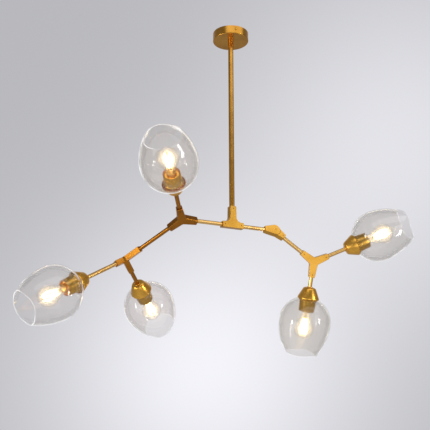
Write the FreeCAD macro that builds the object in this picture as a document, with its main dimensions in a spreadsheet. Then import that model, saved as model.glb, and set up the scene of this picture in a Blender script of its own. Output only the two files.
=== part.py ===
import FreeCAD, Part
import math
import operator
import os
import Sketcher
from types import SimpleNamespace

# Branching chandelier with five clear glass shades.
# Origin: centre of the canopy's ceiling face. +Z is up, the two bar tubes lie along X,
# and the photographed side of the hubs faces -Y. Lengths in millimetres, angles in degrees.

driving = {
    # Canopy and ceiling bracket
    "canopy_diameter": 110.0,
    "canopy_depth": 26.0,
    "canopy_wall": 1.2,
    "canopy_edge": 2.0,
    "bracket_width": 20.0,
    "bracket_gauge": 2.0,
    "bracket_ear": 16.0,
    "bracket_hole_spacing": 70.0,
    "bracket_hole": 5.0,
    "bracket_cable_hole": 12.0,
    "bracket_bearing": -11.0,
    "side_screw_drop": 11.0,
    "side_screw_diameter": 4.0,
    "side_screw_length": 8.0,
    "side_screw_head": 7.0,
    "side_screw_head_height": 2.2,
    "terminal_length": 18.0,
    "terminal_width": 14.0,
    "terminal_height": 11.0,
    "terminal_offset": 19.0,
    "terminal_screw": 2.6,
    # Stem and its nut
    "stem_diameter": 16.0,
    "stem_bore": 13.0,
    "stem_drop": 591.0,
    "stem_thread": 10.0,
    "stem_thread_length": 9.0,
    "stem_thread_bore": 7.0,
    "nut_across_corners": 19.0,
    "nut_height": 5.0,
    # Tubes of the branches and lamps
    "tube_diameter": 12.0,
    "tube_bore": 9.6,
    # Centre hub
    "centre_hub_thickness": 18.6,
    "centre_bar_half": 34.5,
    "centre_bar_height": 17.5,
    "centre_stem_arm": 57.0,
    "centre_stem_arm_width": 19.4,
    "centre_taper_angle": 1.5,
    "centre_fillet": 16.0,
    "centre_chamfer": 2.0,
    "centre_stem_seat": 27.0,
    # Three-armed hubs
    "hub_section": 16.8,
    "hub_arm": 47.0,
    "hub_taper_angle": 5.0,
    "hub_fillet": 8.0,
    "hub_chamfer": 1.2,
    "hub_edge": 0.7,
    "seat_depth": 20.0,
    "wire_channel": 7.0,
    "leaning_hub_inner_arm": 59.0,
    "leaning_hub_outer_arm": 35.0,
    "leaning_hub_fillet": 9.0,
    "leaning_arm": 50.0,
    # Knuckle
    "knuckle_disc": 32.0,
    "knuckle_reach": 36.0,
    "knuckle_thickness": 17.0,
    "knuckle_shoulder": 25.0,
    "knuckle_washer": 0.5,
    "knuckle_washer_diameter": 12.0,
    "pivot_diameter": 5.0,
    "pivot_head": 8.0,
    "pivot_head_height": 2.4,
    "pivot_length": 13.0,
    "pivot_key": 3.0,
    "pivot_boss": 6.0,
    "knuckle_seat": 14.0,
    # Grub screws
    "grub_diameter": 3.0,
    "grub_key": 1.5,
    "grub_inset": 8.0,
    "grub_sink": 0.3,
    # Layout of the branches
    "left_reach": 160.0,
    "left_roll_angle": 148.8,
    "branch_reach": 214.5,
    "branch_roll_angle": 36.2,
    "third_arm_lean_angle": 41.8,
    "right_reach": 143.3,
    "knuckle_roll_angle": -12.6,
    "knuckle_bend_angle": 36.0,
    "knuckle_tube_reach": 152.4,
    "right_roll_angle": 53.5,
    "lamp_1_reach": 110.4,
    "lamp_2_reach": 141.0,
    "lamp_3_reach": 103.1,
    "lamp_4_reach": 77.2,
    "lamp_5_reach": 103.3,
    # Lamp metalwork
    "cap_top": 22.0,
    "cap_shoulder": 10.0,
    "cap_rim": 64.4,
    "cap_height": 34.7,
    "cap_lip": 3.5,
    "cap_wall": 1.2,
    "tube_in_cap": 12.0,
    "sleeve_flange": 56.0,
    "sleeve_flange_height": 2.5,
    "sleeve_root": 50.0,
    "sleeve_mouth": 46.4,
    "sleeve_end": 73.0,
    "sleeve_wall": 1.6,
    "sleeve_neck": 42.0,
    "sleeve_neck_top": 20.0,
    "socket_end": 66.0,
    "socket_bore": 28.0,
    # Glass shade
    "glass_diameter": 156.0,
    "glass_wall": 2.4,
    "glass_hole": 43.0,
    "glass_shoulder": 7.0,
    "glass_side_radius": 215.0,
    "glass_mouth": 98.0,
    "lip_wave": 3.5,
    "lip_wave_radius": 110.0,
    # Bulb
    "bulb_diameter": 60.0,
    "bulb_tip": 156.0,
    "bulb_wall": 0.9,
    "bulb_neck": 26.0,
    "bulb_collar": 76.0,
    "bulb_neck_length": 6.0,
    "base_diameter": 26.4,
    "base_length": 25.0,
    "contact_diameter": 9.0,
    "contact_height": 3.0,
    "mount_diameter": 9.0,
    "mount_height": 16.0,
    "filament_diameter": 1.8,
    "filament_length": 38.0,
    "filament_ring": 8.0,
    "wire_diameter": 1.0,
    "wire_rise": 3.0,
    # Clearances
    "running_gap": 0.05,
    "seat_gap": 0.3,
    "overrun": 2.0,
}
filament_count = 4
lip_waves = 3
screw_head_crown_share = 0.6

document = FreeCAD.newDocument("chandelier")
sheet = document.addObject("Spreadsheet::Sheet", "sizes")
for row, (alias, value) in enumerate(driving.items(), start=1):
    sheet.set(f"A{row}", alias)
    sheet.set(f"B{row}", str(value))
    sheet.setAlias(f"B{row}", alias)
document.recompute()

signs = {"+": operator.add, "-": operator.sub, "*": operator.mul, "/": operator.truediv}


class Size:
    # A length or angle with the expression that works it out from the sheet.
    def __init__(self, value, text):
        self.value = float(value)
        self.text = text

    def __add__(self, other):
        return combine(self, "+", other)

    def __sub__(self, other):
        return combine(self, "-", other)

    def __mul__(self, other):
        return combine(self, "*", other)

    def __truediv__(self, other):
        return combine(self, "/", other)

    def __neg__(self):
        return combine(0, "-", self)

    def __float__(self):
        return self.value


def as_size(number):
    return number if isinstance(number, Size) else Size(number, f"({number})")


def combine(left, sign, right):
    left = as_size(left)
    right = as_size(right)
    value = signs[sign](left.value, right.value)
    return Size(value, f"({left.text} {sign} {right.text})")


def root(area):
    return Size(math.sqrt(area.value), f"sqrt({area.text})")


def leg(long_side, short_side):
    # Other leg of a right triangle.
    return root(long_side * long_side - short_side * short_side)


def cosine(angle):
    return Size(math.cos(math.radians(angle.value)), f"cos({angle.text})")


def sine(angle):
    return Size(math.sin(math.radians(angle.value)), f"sin({angle.text})")


def slope(angle):
    return sine(angle) / cosine(angle)


s = SimpleNamespace(**{name: Size(value, f"sizes.{name}") for name, value in driving.items()})
zero = Size(0, "0")
nodes = []


def bind(item, name, size):
    item.setExpression(name, size.text)


def vector(x=0, y=0, z=0):
    return FreeCAD.Vector(float(x), float(y), float(z))


def shift(x=0, y=0, z=0):
    return FreeCAD.Placement(vector(x, y, z), FreeCAD.Rotation())


def turn(axis, angle):
    return FreeCAD.Placement(vector(), FreeCAD.Rotation(vector(*axis), float(angle)))


along_x = (1, 0, 0)
along_y = (0, 1, 0)
along_z = (0, 0, 1)
z_to_x = turn(along_y, 90)
z_to_front = turn(along_x, 90)


def node(item, label, placement=FreeCAD.Placement()):
    item.Label = label
    item.Placement = placement
    nodes.append(item)
    return item


# Sketches: a path is a closed run of corners. A corner is (x, y), or
# (x, y, centre x, centre y, radius, left) when a round run leads to it.
def draw(body, plane, path):
    sketch = body.newObject("Sketcher::SketchObject", body.Name + "_outline")
    base = [feature for feature in body.Origin.OriginFeatures if feature.Role == plane][0]
    sketch.AttachmentSupport = (base, [""])
    sketch.MapMode = "FlatFace"
    ends = []
    for index, corner in enumerate(path):
        start = path[index - 1]
        begin = vector(start[0], start[1])
        finish = vector(corner[0], corner[1])
        if len(corner) == 2:
            sketch.addGeometry(Part.LineSegment(begin, finish))
            ends.append((1, 2))
            continue
        centre = vector(corner[2], corner[3])
        left = corner[5]
        first, last = (begin, finish) if left else (finish, begin)
        first_angle = math.atan2(first.y - centre.y, first.x - centre.x)
        last_angle = math.atan2(last.y - centre.y, last.x - centre.x)
        circle = Part.Circle(centre, vector(*along_z), float(corner[4]))
        sketch.addGeometry(Part.ArcOfCircle(circle, first_angle, last_angle))
        ends.append((1, 2) if left else (2, 1))
    for index, corner in enumerate(path):
        here = ends[index][1]
        following = (index + 1) % len(path)
        sketch.addConstraint(Sketcher.Constraint("Coincident", index, here, following, ends[following][0]))
    for index, corner in enumerate(path):
        here = ends[index][1]
        for kind, size, axis in (("DistanceX", corner[0], -2), ("DistanceY", corner[1], -1)):
            if size is zero:
                sketch.addConstraint(Sketcher.Constraint("PointOnObject", index, here, axis))
                continue
            number = sketch.addConstraint(Sketcher.Constraint(kind, -1, 1, index, here, float(size)))
            bind(sketch, f"Constraints[{number}]", size)
        if len(corner) > 2:
            number = sketch.addConstraint(Sketcher.Constraint("Radius", index, float(corner[4])))
            bind(sketch, f"Constraints[{number}]", corner[4])
    return sketch


def turned(name, path):
    # A piece turned about its own Z axis, from an outline of radius and height.
    body = document.addObject("PartDesign::Body", name)
    revolution = body.newObject("PartDesign::Revolution", name + "_turned")
    revolution.Profile = draw(body, "XZ_Plane", path)
    revolution.ReferenceAxis = (revolution.Profile[0], ["V_Axis"])
    revolution.Angle = 360
    body.Tip = revolution
    return body


def plate(name, path, thickness, plane="XY_Plane", edge=None):
    # A slab with an outline, half of its thickness on each side, and broken edges.
    body = document.addObject("PartDesign::Body", name)
    pad = body.newObject("PartDesign::Pad", name + "_pad")
    pad.Profile = draw(body, plane, path)
    pad.SideType = "Symmetric"
    bind(pad, "Length", thickness)
    body.Tip = pad
    if edge is not None:
        document.recompute()
        chamfer = body.newObject("PartDesign::Chamfer", name + "_edges")
        chamfer.Base = (pad, rim_edges(pad.Shape, plane))
        bind(chamfer, "Size", edge)
        body.Tip = chamfer
    return body


def rim_edges(shape, plane):
    # Names of the edges that lie in one of the two outline faces.
    flat = "ZLength" if plane == "XY_Plane" else "YLength"
    names = []
    for number, edge in enumerate(shape.Edges, start=1):
        if getattr(edge.BoundBox, flat) < Part.Precision.confusion() * 10:
            names.append(f"Edge{number}")
    return names


def rod(name, radius, length, placement=FreeCAD.Placement()):
    item = document.addObject("Part::Cylinder", name)
    bind(item, "Radius", radius)
    bind(item, "Height", length)
    item.Placement = placement
    return item


def key_bar(name, across_flats, length, placement=FreeCAD.Placement()):
    item = document.addObject("Part::Prism", name)
    item.Polygon = 6
    bind(item, "Circumradius", across_flats / (cosine(as_size(30)) * 2))
    bind(item, "Height", length)
    item.Placement = placement
    return item


def cut(name, base, tools):
    item = document.addObject("Part::Cut", name)
    item.Base = base
    item.Tool = tools[0] if len(tools) == 1 else join(name + "_tools", tools)
    return item


def join(name, pieces):
    item = document.addObject("Part::MultiFuse", name)
    item.Shapes = pieces
    return item


def group(name, pieces):
    item = document.addObject("Part::Compound", name)
    item.Links = pieces
    return item


def ring(inner, outer, bottom, top):
    return [(inner, bottom), (outer, bottom), (outer, top), (inner, top)]


# Frames: each hub has its centre at the origin of its frame and its first arm along X.
tube_radius = s.tube_diameter / 2
socket_radius = tube_radius + s.running_gap
hub_half = s.hub_section / 2
stem_radius = s.stem_diameter / 2
centre_frame = shift(z=-(s.canopy_depth + s.stem_drop))
left_frame = centre_frame * shift(x=-s.left_reach) * turn(along_x, s.left_roll_angle)
to_branch = turn(along_z, -120)
to_branch_lamp = turn(along_z, 120)
turn_back = turn(along_z, 180)
branch_end = left_frame * to_branch * shift(x=s.branch_reach) * turn_back
branch_frame = branch_end * turn(along_x, s.branch_roll_angle)
pivot_frame = centre_frame * shift(x=s.right_reach) * turn(along_x, s.knuckle_roll_angle)
bent_frame = pivot_frame * turn(along_y, s.knuckle_bend_angle)
right_frame = bent_frame * shift(x=s.knuckle_tube_reach) * turn_back * turn(along_x, s.right_roll_angle)
to_leaning_arm = to_branch * turn(along_y, -s.third_arm_lean_angle)


# Canopy, bracket, stem
canopy_radius = s.canopy_diameter / 2
canopy_inside = canopy_radius - s.canopy_wall
edge_inside = s.canopy_edge - s.canopy_wall
thread_radius = s.stem_thread / 2
bracket_half_width = s.bracket_width / 2
bracket_half = leg(canopy_inside, bracket_half_width) - s.seat_gap
side_screw_radius = s.side_screw_diameter / 2


bracket_frame = turn(along_z, s.bracket_bearing)


def side_screw_frames():
    for angle in (90, -90):
        yield turn(along_z, angle) * shift(z=-s.side_screw_drop) * z_to_x


def build_canopy():
    floor = -s.canopy_depth
    centre = (canopy_radius - s.canopy_edge, floor + s.canopy_edge)
    shell = turned("canopy_shell", [
        (thread_radius + s.seat_gap, floor),
        (canopy_radius - s.canopy_edge, floor),
        (canopy_radius, floor + s.canopy_edge, *centre, s.canopy_edge, True),
        (canopy_radius, zero),
        (canopy_inside, zero),
        (canopy_inside, floor + s.canopy_edge),
        (canopy_radius - s.canopy_edge, floor + s.canopy_wall, *centre, edge_inside, False),
        (thread_radius + s.seat_gap, floor + s.canopy_wall),
    ])
    holes = [
        rod(f"canopy_hole_{number}", side_screw_radius + s.running_gap, canopy_radius + s.overrun, frame)
        for number, frame in enumerate(side_screw_frames())
    ]
    node(cut("canopy_body", shell, holes), "canopy", bracket_frame)


def build_bracket():
    web = -s.bracket_gauge
    ear = -s.bracket_ear
    inner = bracket_half - s.bracket_gauge
    strip = plate("bracket_strip", [
        (-bracket_half, zero), (-bracket_half, ear), (-inner, ear), (-inner, web),
        (inner, web), (inner, ear), (bracket_half, ear), (bracket_half, zero),
    ], s.bracket_width, "YZ_Plane")
    drop = s.bracket_gauge + s.overrun * 2
    holes = [rod("bracket_cable", s.bracket_cable_hole / 2, drop, shift(z=-drop + s.overrun))]
    for number, side in enumerate((-1, 1)):
        place = shift(y=s.bracket_hole_spacing / 2 * side, z=-drop + s.overrun)
        holes.append(rod(f"bracket_slot_{number}", s.bracket_hole / 2, drop, place))
    for number, frame in enumerate(side_screw_frames()):
        thread = rod(f"bracket_thread_{number}", side_screw_radius + s.running_gap, canopy_radius, frame)
        holes.append(thread)
    node(cut("bracket_body", strip, holes), "ceiling_bracket", bracket_frame)


def build_side_screws():
    head = s.side_screw_head / 2
    shank_start = canopy_radius - s.side_screw_length
    pieces = []
    for number, frame in enumerate(side_screw_frames()):
        screw = turned(f"side_screw_{number}", [
            (zero, shank_start),
            (side_screw_radius, shank_start),
            (side_screw_radius, canopy_radius),
            (head, canopy_radius),
            (head, canopy_radius + s.side_screw_head_height / 2),
            (head * screw_head_crown_share, canopy_radius + s.side_screw_head_height),
            (zero, canopy_radius + s.side_screw_head_height),
        ])
        screw.Placement = frame
        pieces.append(screw)
    node(group("side_screws", pieces), "canopy_side_screws", bracket_frame)


def build_terminal():
    block = document.addObject("Part::Box", "terminal_box")
    bind(block, "Length", s.terminal_width)
    bind(block, "Width", s.terminal_length)
    bind(block, "Height", s.terminal_height)
    block.Placement = shift(x=-s.terminal_width / 2, y=-s.terminal_length / 2)
    wells = []
    depth = s.terminal_height / 2
    for row in (-1, 1):
        for column in (-1, 0, 1):
            place = shift(x=s.terminal_width / 4 * row, y=s.terminal_length / 3 * column)
            wells.append(rod(f"terminal_well_{row}_{column}", s.terminal_screw / 2, depth, place))
    place = shift(y=s.terminal_offset, z=-(s.bracket_gauge + s.terminal_height))
    node(cut("terminal_body", block, wells), "terminal_block", bracket_frame * place)


def build_stem():
    top = s.stem_thread_length
    bottom = s.centre_stem_seat + s.seat_gap - s.stem_drop
    stem = turned("stem_body", [
        (s.stem_bore / 2, bottom), (stem_radius, bottom), (stem_radius, zero), (thread_radius, zero),
        (thread_radius, top), (s.stem_thread_bore / 2, top),
        (s.stem_thread_bore / 2, -s.stem_thread), (s.stem_bore / 2, -s.stem_thread),
    ])
    node(stem, "stem", shift(z=-s.canopy_depth))
    bore = rod("nut_bore", thread_radius + s.running_gap, s.nut_height + s.overrun * 2, shift(z=-s.overrun))
    blank = key_bar("nut_blank", s.nut_across_corners * cosine(as_size(30)), s.nut_height)
    node(cut("nut_body", blank, [bore]), "stem_nut", shift(z=-s.canopy_depth + s.canopy_wall))


# Hub bores: a wire channel from the centre, then the wider seat of a tube
def bore(name, arm, seat, radius, frame, start=zero):
    channel = s.wire_channel / 2
    tool = turned(name, [
        (zero, start), (channel, start), (channel, arm - seat), (radius, arm - seat),
        (radius, arm + s.overrun), (zero, arm + s.overrun),
    ])
    tool.Placement = frame
    return tool


# Grub screws: each stands on an arm, square to it, from the face down to the tube
def grub_hole(name, arm, half, frame):
    place = frame * shift(x=arm - s.grub_inset)
    return rod(name, s.grub_diameter / 2 + s.running_gap, half + s.overrun, place)


def grub_screw(name, arm, half, radius, frame):
    place = frame * shift(x=arm - s.grub_inset, z=radius + s.running_gap)
    length = half - radius - s.running_gap - s.grub_sink
    blank = rod(name + "_blank", s.grub_diameter / 2, length)
    key = key_bar(name + "_key", s.grub_key, length, shift(z=length / 2))
    screw = cut(name, blank, [key])
    screw.Placement = place
    return screw


def grub_set(name, label, arms, frame):
    # arms: (reach, half section, tube radius, frame of the arm)
    screws = [
        grub_screw(f"{name}_{number}", arm, half, radius, place)
        for number, (arm, half, radius, place) in enumerate(arms)
    ]
    node(group(name + "_set", screws), label, frame)


def build_centre_hub():
    half = s.centre_bar_half
    low = s.centre_bar_height / 2
    side = s.centre_stem_arm_width / 2
    top = s.centre_stem_arm
    soft = s.centre_fillet
    nick = s.centre_chamfer
    taper = s.centre_taper_angle
    grow = nick * slope(taper)
    # Centre of the round run between the bar and the stem arm, and where it touches the arm
    round_out = side + (top - low - soft) * slope(taper) + soft / cosine(taper)
    round_up = low + soft
    touch_out = round_out - soft * cosine(taper)
    touch_up = round_up - soft * sine(taper)
    body = plate("centre_blank", [
        (-half, -low), (half, -low), (half, low - nick / 2), (half - nick, low),
        (round_out, low),
        (touch_out, touch_up, round_out, round_up, soft, False),
        (side + grow, top - nick), (side - nick, top),
        (nick - side, top), (-side - grow, top - nick),
        (-touch_out, touch_up),
        (-round_out, low, -round_out, round_up, soft, False),
        (-half + nick, low), (-half, low - nick / 2),
    ], s.centre_hub_thickness, "XZ_Plane", s.hub_edge)
    face = s.centre_hub_thickness / 2
    up = turn(along_y, -90)
    right = FreeCAD.Placement()
    left = turn(along_y, 180)
    seat = s.centre_stem_arm - s.centre_stem_seat
    tools = [
        bore("centre_stem_bore", top, seat, stem_radius + s.running_gap, up * z_to_x),
        bore("centre_right_bore", half, s.seat_depth, socket_radius, z_to_x),
        bore("centre_left_bore", half, s.seat_depth, socket_radius, left * z_to_x),
    ]
    front = [frame * turn(along_x, spin) for frame, spin in ((up, 90), (right, 90), (left, 90))]
    arms = [
        (top, face, stem_radius, front[0]),
        (half, face, tube_radius, front[1]),
        (half, face, tube_radius, front[2]),
    ]
    for number, (arm, depth, radius, frame) in enumerate(arms):
        tools.append(grub_hole(f"centre_grub_hole_{number}", arm, depth, frame))
    node(cut("centre_body", body, tools), "t_hub", centre_frame)
    grub_set("centre_grub", "t_hub_grub_screws", arms, centre_frame)


def crotch(reach, taper, fillet):
    # Round run between two arms, whose half section grows by the taper towards the middle:
    # its distance from the middle, and where it touches the side of an arm (out, aside).
    root_half = hub_half + reach * slope(taper)
    out = (fillet + root_half * cosine(taper)) / sine(taper + as_size(60))
    touch_out = out * cosine(as_size(60)) - fillet * sine(taper)
    touch_aside = out * sine(as_size(60)) - fillet * cosine(taper)
    return out, (touch_out, touch_aside)


def arm_corners(angle, reach, taper, touch):
    # Corners of one arm, from the touch point on its right side to the one on its left side.
    across = (cosine(as_size(angle)), sine(as_size(angle)))
    nick = s.hub_chamfer
    wide = hub_half + nick * slope(taper)

    def place(out, aside):
        return (across[0] * out - across[1] * aside, across[1] * out + across[0] * aside)

    return [
        place(touch[0], -touch[1]), place(reach - nick, -wide), place(reach, nick - hub_half),
        place(reach, hub_half - nick), place(reach - nick, wide), place(*touch),
    ]


def crotch_step(angle, corner, out, fillet):
    # Round run up to the corner, about a centre that lies out at the angle.
    return (*corner, cosine(as_size(angle)) * out, sine(as_size(angle)) * out, fillet, False)


def three_arm_outline(reach, taper, fillet):
    out, touch = crotch(reach, taper, fillet)
    path = []
    for angle in (0, 120, 240):
        corners = arm_corners(angle, reach, taper, touch)
        path.append(crotch_step(angle - 60, corners[0], out, fillet))
        path.extend(corners[1:])
    return path


def two_arm_outline(first, second, fillet):
    out, touch = crotch(first, zero, fillet)
    heel = hub_half / cosine(as_size(30))
    start = arm_corners(0, first, zero, touch)
    finish = arm_corners(120, second, zero, touch)
    path = [(cosine(as_size(240)) * heel, sine(as_size(240)) * heel)]
    path.extend(start[1:])
    path.append(crotch_step(60, finish[0], out, fillet))
    path.extend(finish[1:-1])
    return path


def finish_hub(name, label, blank, arms, frame):
    # arms: (reach, frame of the arm, turn of its grub screw about the arm)
    tools = []
    set_arms = []
    for number, (reach, aim, spin) in enumerate(arms):
        tools.append(bore(f"{name}_bore_{number}", reach, s.seat_depth, socket_radius, aim * z_to_x))
        place = aim * turn(along_x, spin)
        tools.append(grub_hole(f"{name}_grub_hole_{number}", reach, hub_half, place))
        set_arms.append((reach, hub_half, tube_radius, place))
    node(cut(name + "_body", blank, tools), label, frame)
    grub_set(name + "_grub", label + "_grub_screws", set_arms, frame)


def build_flat_hub(name, label, frame, spin):
    outline = three_arm_outline(s.hub_arm, s.hub_taper_angle, s.hub_fillet)
    blank = plate(name + "_blank", outline, s.hub_section, edge=s.hub_edge)
    arms = [(s.hub_arm, turn(along_z, angle), spin) for angle in (0, 120, 240)]
    finish_hub(name, label, blank, arms, frame)


def build_leaning_hub(frame):
    inner = s.leaning_hub_inner_arm
    outer = s.leaning_hub_outer_arm
    outline = two_arm_outline(inner, outer, s.leaning_hub_fillet)
    pair = plate("leaning_pair", outline, s.hub_section, edge=s.hub_edge)
    nick = s.hub_chamfer
    leaning = plate("leaning_third", [
        (zero, -hub_half), (s.leaning_arm - nick, -hub_half), (s.leaning_arm, nick - hub_half),
        (s.leaning_arm, hub_half - nick), (s.leaning_arm - nick, hub_half), (zero, hub_half),
    ], s.hub_section, edge=s.hub_edge)
    leaning.Placement = to_leaning_arm
    blank = join("leaning_blank", [pair, leaning])
    arms = [
        (inner, FreeCAD.Placement(), 0),
        (outer, to_branch_lamp, 0),
        (s.leaning_arm, to_leaning_arm, 90),
    ]
    finish_hub("leaning", "three_way_hub", blank, arms, frame)


def build_tube_run(label, low, high, frame):
    tube = turned(label + "_turned", ring(s.tube_bore / 2, tube_radius, low, high))
    node(tube, label, frame)


def build_tube(label, length, frame):
    build_tube_run(label, zero, length, frame)


def build_branch_tubes():
    centre_seat = s.centre_bar_half - s.seat_depth + s.seat_gap
    hub_seat = s.hub_arm - s.seat_depth + s.seat_gap
    leaning_seat = s.leaning_hub_inner_arm - s.seat_depth + s.seat_gap
    knuckle_seat = s.knuckle_reach - s.knuckle_seat + s.seat_gap
    build_tube("left_tube", s.left_reach - centre_seat - hub_seat,
               left_frame * shift(x=hub_seat) * z_to_x)
    build_tube("branch_tube", s.branch_reach - hub_seat - leaning_seat,
               branch_frame * shift(x=leaning_seat) * z_to_x)
    build_tube("right_tube", s.right_reach - centre_seat - knuckle_seat,
               centre_frame * shift(x=centre_seat) * z_to_x)
    build_tube("knuckle_tube", s.knuckle_tube_reach - knuckle_seat - hub_seat,
               right_frame * shift(x=hub_seat) * z_to_x)


# Knuckle: two blocks that lap half and half at a disc, each with a round shoulder for the other
def build_knuckle():
    disc = s.knuckle_disc / 2
    reach = s.knuckle_reach
    half = s.knuckle_thickness / 2
    gap = s.knuckle_washer / 2
    nick = s.hub_chamfer
    pivot = s.pivot_diameter / 2
    end_square = reach * reach + hub_half * hub_half
    tangent = root(end_square - disc * disc)
    touch_x = (disc * tangent * hub_half - disc * disc * reach) / end_square
    touch_y = (disc * disc * hub_half + disc * tangent * reach) / end_square
    base_blank = plate("knuckle_base_blank", [
        (nick - reach, hub_half), (-reach, hub_half - nick), (-reach, nick - hub_half),
        (nick - reach, -hub_half), (touch_x, -touch_y),
        (touch_x, touch_y, zero, zero, disc, True),
    ], s.knuckle_thickness, "XZ_Plane", s.hub_edge)
    shoulder = s.knuckle_shoulder / 2
    shoulder_x = leg(disc, shoulder)
    arm_blank = plate("knuckle_arm_blank", [
        (reach - nick, -hub_half), (reach, nick - hub_half), (reach, hub_half - nick),
        (reach - nick, hub_half), (shoulder_x, shoulder),
        (shoulder_x, -shoulder, zero, zero, disc, True),
    ], s.knuckle_thickness, "XZ_Plane", s.hub_edge)
    lap_radius = disc + s.seat_gap
    lap_length = half + gap + s.overrun
    back_lap = rod("knuckle_back_lap", lap_radius, lap_length, shift(y=lap_length - gap) * z_to_front)
    front_lap = rod("knuckle_front_lap", lap_radius, lap_length, shift(y=gap) * z_to_front)
    through = s.knuckle_thickness + s.overrun * 2
    base_hole = rod("knuckle_base_hole", pivot + s.running_gap, through,
                    shift(y=through / 2) * z_to_front)
    arm_hole = rod("knuckle_arm_hole", pivot + s.running_gap, through,
                   shift(y=through / 2) * z_to_front)
    sink = s.pivot_head_height + s.grub_sink
    head_hole = rod("knuckle_head_hole", s.pivot_head / 2 + s.seat_gap, sink + s.overrun,
                    shift(y=sink - half) * z_to_front)
    left = turn(along_z, 180)
    front = turn(along_x, 90)
    base_arm = left * turn(along_x, 90)
    base_tools = [
        back_lap, base_hole, head_hole,
        bore("knuckle_base_bore", reach, s.knuckle_seat, socket_radius, left * z_to_x, s.pivot_boss),
        grub_hole("knuckle_base_grub_hole", reach, half, base_arm),
    ]
    arm_tools = [
        front_lap, arm_hole,
        bore("knuckle_arm_bore", reach, s.knuckle_seat, socket_radius, z_to_x, s.pivot_boss),
        grub_hole("knuckle_arm_grub_hole", reach, half, front),
    ]
    node(cut("knuckle_base_body", base_blank, base_tools), "knuckle_base", pivot_frame)
    node(cut("knuckle_arm_body", arm_blank, arm_tools), "knuckle_arm", bent_frame)
    grub_set("knuckle_base_grub", "knuckle_base_grub_screw",
             [(reach, half, tube_radius, base_arm)], pivot_frame)
    grub_set("knuckle_arm_grub", "knuckle_arm_grub_screw",
             [(reach, half, tube_radius, front)], bent_frame)
    washer = turned("washer_turned", ring(
        pivot + s.running_gap, s.knuckle_washer_diameter / 2, s.running_gap - gap, gap - s.running_gap))
    node(washer, "knuckle_washer", pivot_frame * z_to_front)
    head_top = half - s.grub_sink
    head_low = half - sink
    bolt = turned("pivot_turned", [
        (zero, head_low - s.pivot_length), (pivot, head_low - s.pivot_length), (pivot, head_low),
        (s.pivot_head / 2, head_low), (s.pivot_head / 2, head_top), (zero, head_top),
    ])
    key = key_bar("pivot_key", s.pivot_key, s.overrun, shift(z=head_top - s.pivot_head_height / 2))
    node(cut("pivot_body", bolt, [key]), "knuckle_pivot_screw", pivot_frame * z_to_front)


# Lamps: Z runs along the lamp from the top of its cap to the mouth of its shade
glass_radius = s.glass_diameter / 2
rim_radius = s.cap_rim / 2
cap_mouth = rim_radius - s.cap_wall
glass_centre = s.cap_height + s.seat_gap + leg(glass_radius, cap_mouth)
mouth_radius = s.glass_mouth / 2
shoulder_cosine = leg(glass_radius, s.glass_shoulder) / glass_radius
shoulder_sine = s.glass_shoulder / glass_radius
side_centre_out = (glass_radius - s.glass_side_radius) * shoulder_cosine
side_centre_up = glass_centre + (glass_radius - s.glass_side_radius) * shoulder_sine
mouth_height = side_centre_up + leg(s.glass_side_radius, mouth_radius - side_centre_out)
bulb_radius = s.bulb_diameter / 2
bulb_centre = s.bulb_tip - bulb_radius


def build_cap(label, frame):
    flat = s.cap_top / 2
    soft = s.cap_shoulder
    lip = s.cap_height - s.cap_lip
    wall = s.cap_wall
    # The side is a cone from the lip to where it touches the round shoulder
    out = rim_radius - flat
    up = lip - soft
    square = out * out + up * up
    run = leg(root(square), soft)
    aim = ((soft * out + run * up) / square, (soft * up - run * out) / square)
    inner = soft - wall
    touch = (flat + aim[0] * inner, soft + aim[1] * inner)
    inner_lip = touch[1] - (cap_mouth - touch[0]) * aim[0] / aim[1]
    bell = turned(label + "_turned", [
        (socket_radius, zero), (flat, zero),
        (flat + aim[0] * soft, soft + aim[1] * soft, flat, soft, soft, True),
        (rim_radius, lip), (rim_radius, s.cap_height), (cap_mouth, s.cap_height),
        (cap_mouth, inner_lip), touch,
        (flat, wall, flat, soft, inner, False),
        (socket_radius, wall),
    ])
    node(bell, label, frame)


def build_glass(label, frame):
    inner = glass_radius - s.glass_wall
    hole = s.glass_hole / 2
    ball_centre = (zero, glass_centre)
    side_centre = (side_centre_out, side_centre_up)
    inner_side = s.glass_side_radius - s.glass_wall
    shell = turned(label + "_turned", [
        (hole, glass_centre - leg(glass_radius, hole)),
        (glass_radius * shoulder_cosine, glass_centre + glass_radius * shoulder_sine,
         *ball_centre, glass_radius, True),
        (mouth_radius, mouth_height, *side_centre, s.glass_side_radius, True),
        (side_centre_out + leg(inner_side, mouth_height - side_centre_up), mouth_height),
        (inner * shoulder_cosine, glass_centre + inner * shoulder_sine, *side_centre, inner_side, False),
        (hole, glass_centre - leg(inner, hole), *ball_centre, inner, False),
    ])
    cutters = []
    for wave in range(lip_waves):
        place = shift(z=mouth_height + s.lip_wave_radius - s.lip_wave)
        aim = turn(along_z, 360 / lip_waves * wave)
        name = f"{label}_wave_{wave}"
        cutters.append(rod(name, s.lip_wave_radius, glass_radius, place * aim * z_to_x))
    node(cut(label + "_body", shell, cutters), label, frame)


def flange_low():
    # Height at which the sleeve's flange meets the inside of the glass
    return glass_centre - leg(glass_radius - s.glass_wall, s.sleeve_flange / 2) + s.seat_gap


def build_sleeve(label, frame):
    neck = s.sleeve_neck / 2
    wall = s.sleeve_wall
    low = flange_low()
    high = low + s.sleeve_flange_height
    sleeve = turned(label + "_turned", [
        (neck - wall, s.sleeve_neck_top), (neck, s.sleeve_neck_top), (neck, low),
        (s.sleeve_flange / 2, low), (s.sleeve_flange / 2, high), (s.sleeve_root / 2, high),
        (s.sleeve_mouth / 2, s.sleeve_end), (s.sleeve_mouth / 2 - wall, s.sleeve_end),
        (s.sleeve_root / 2 - wall, high), (neck - wall, high),
    ])
    node(sleeve, label, frame)


base_bottom = s.bulb_collar - s.base_length - s.contact_height


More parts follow.
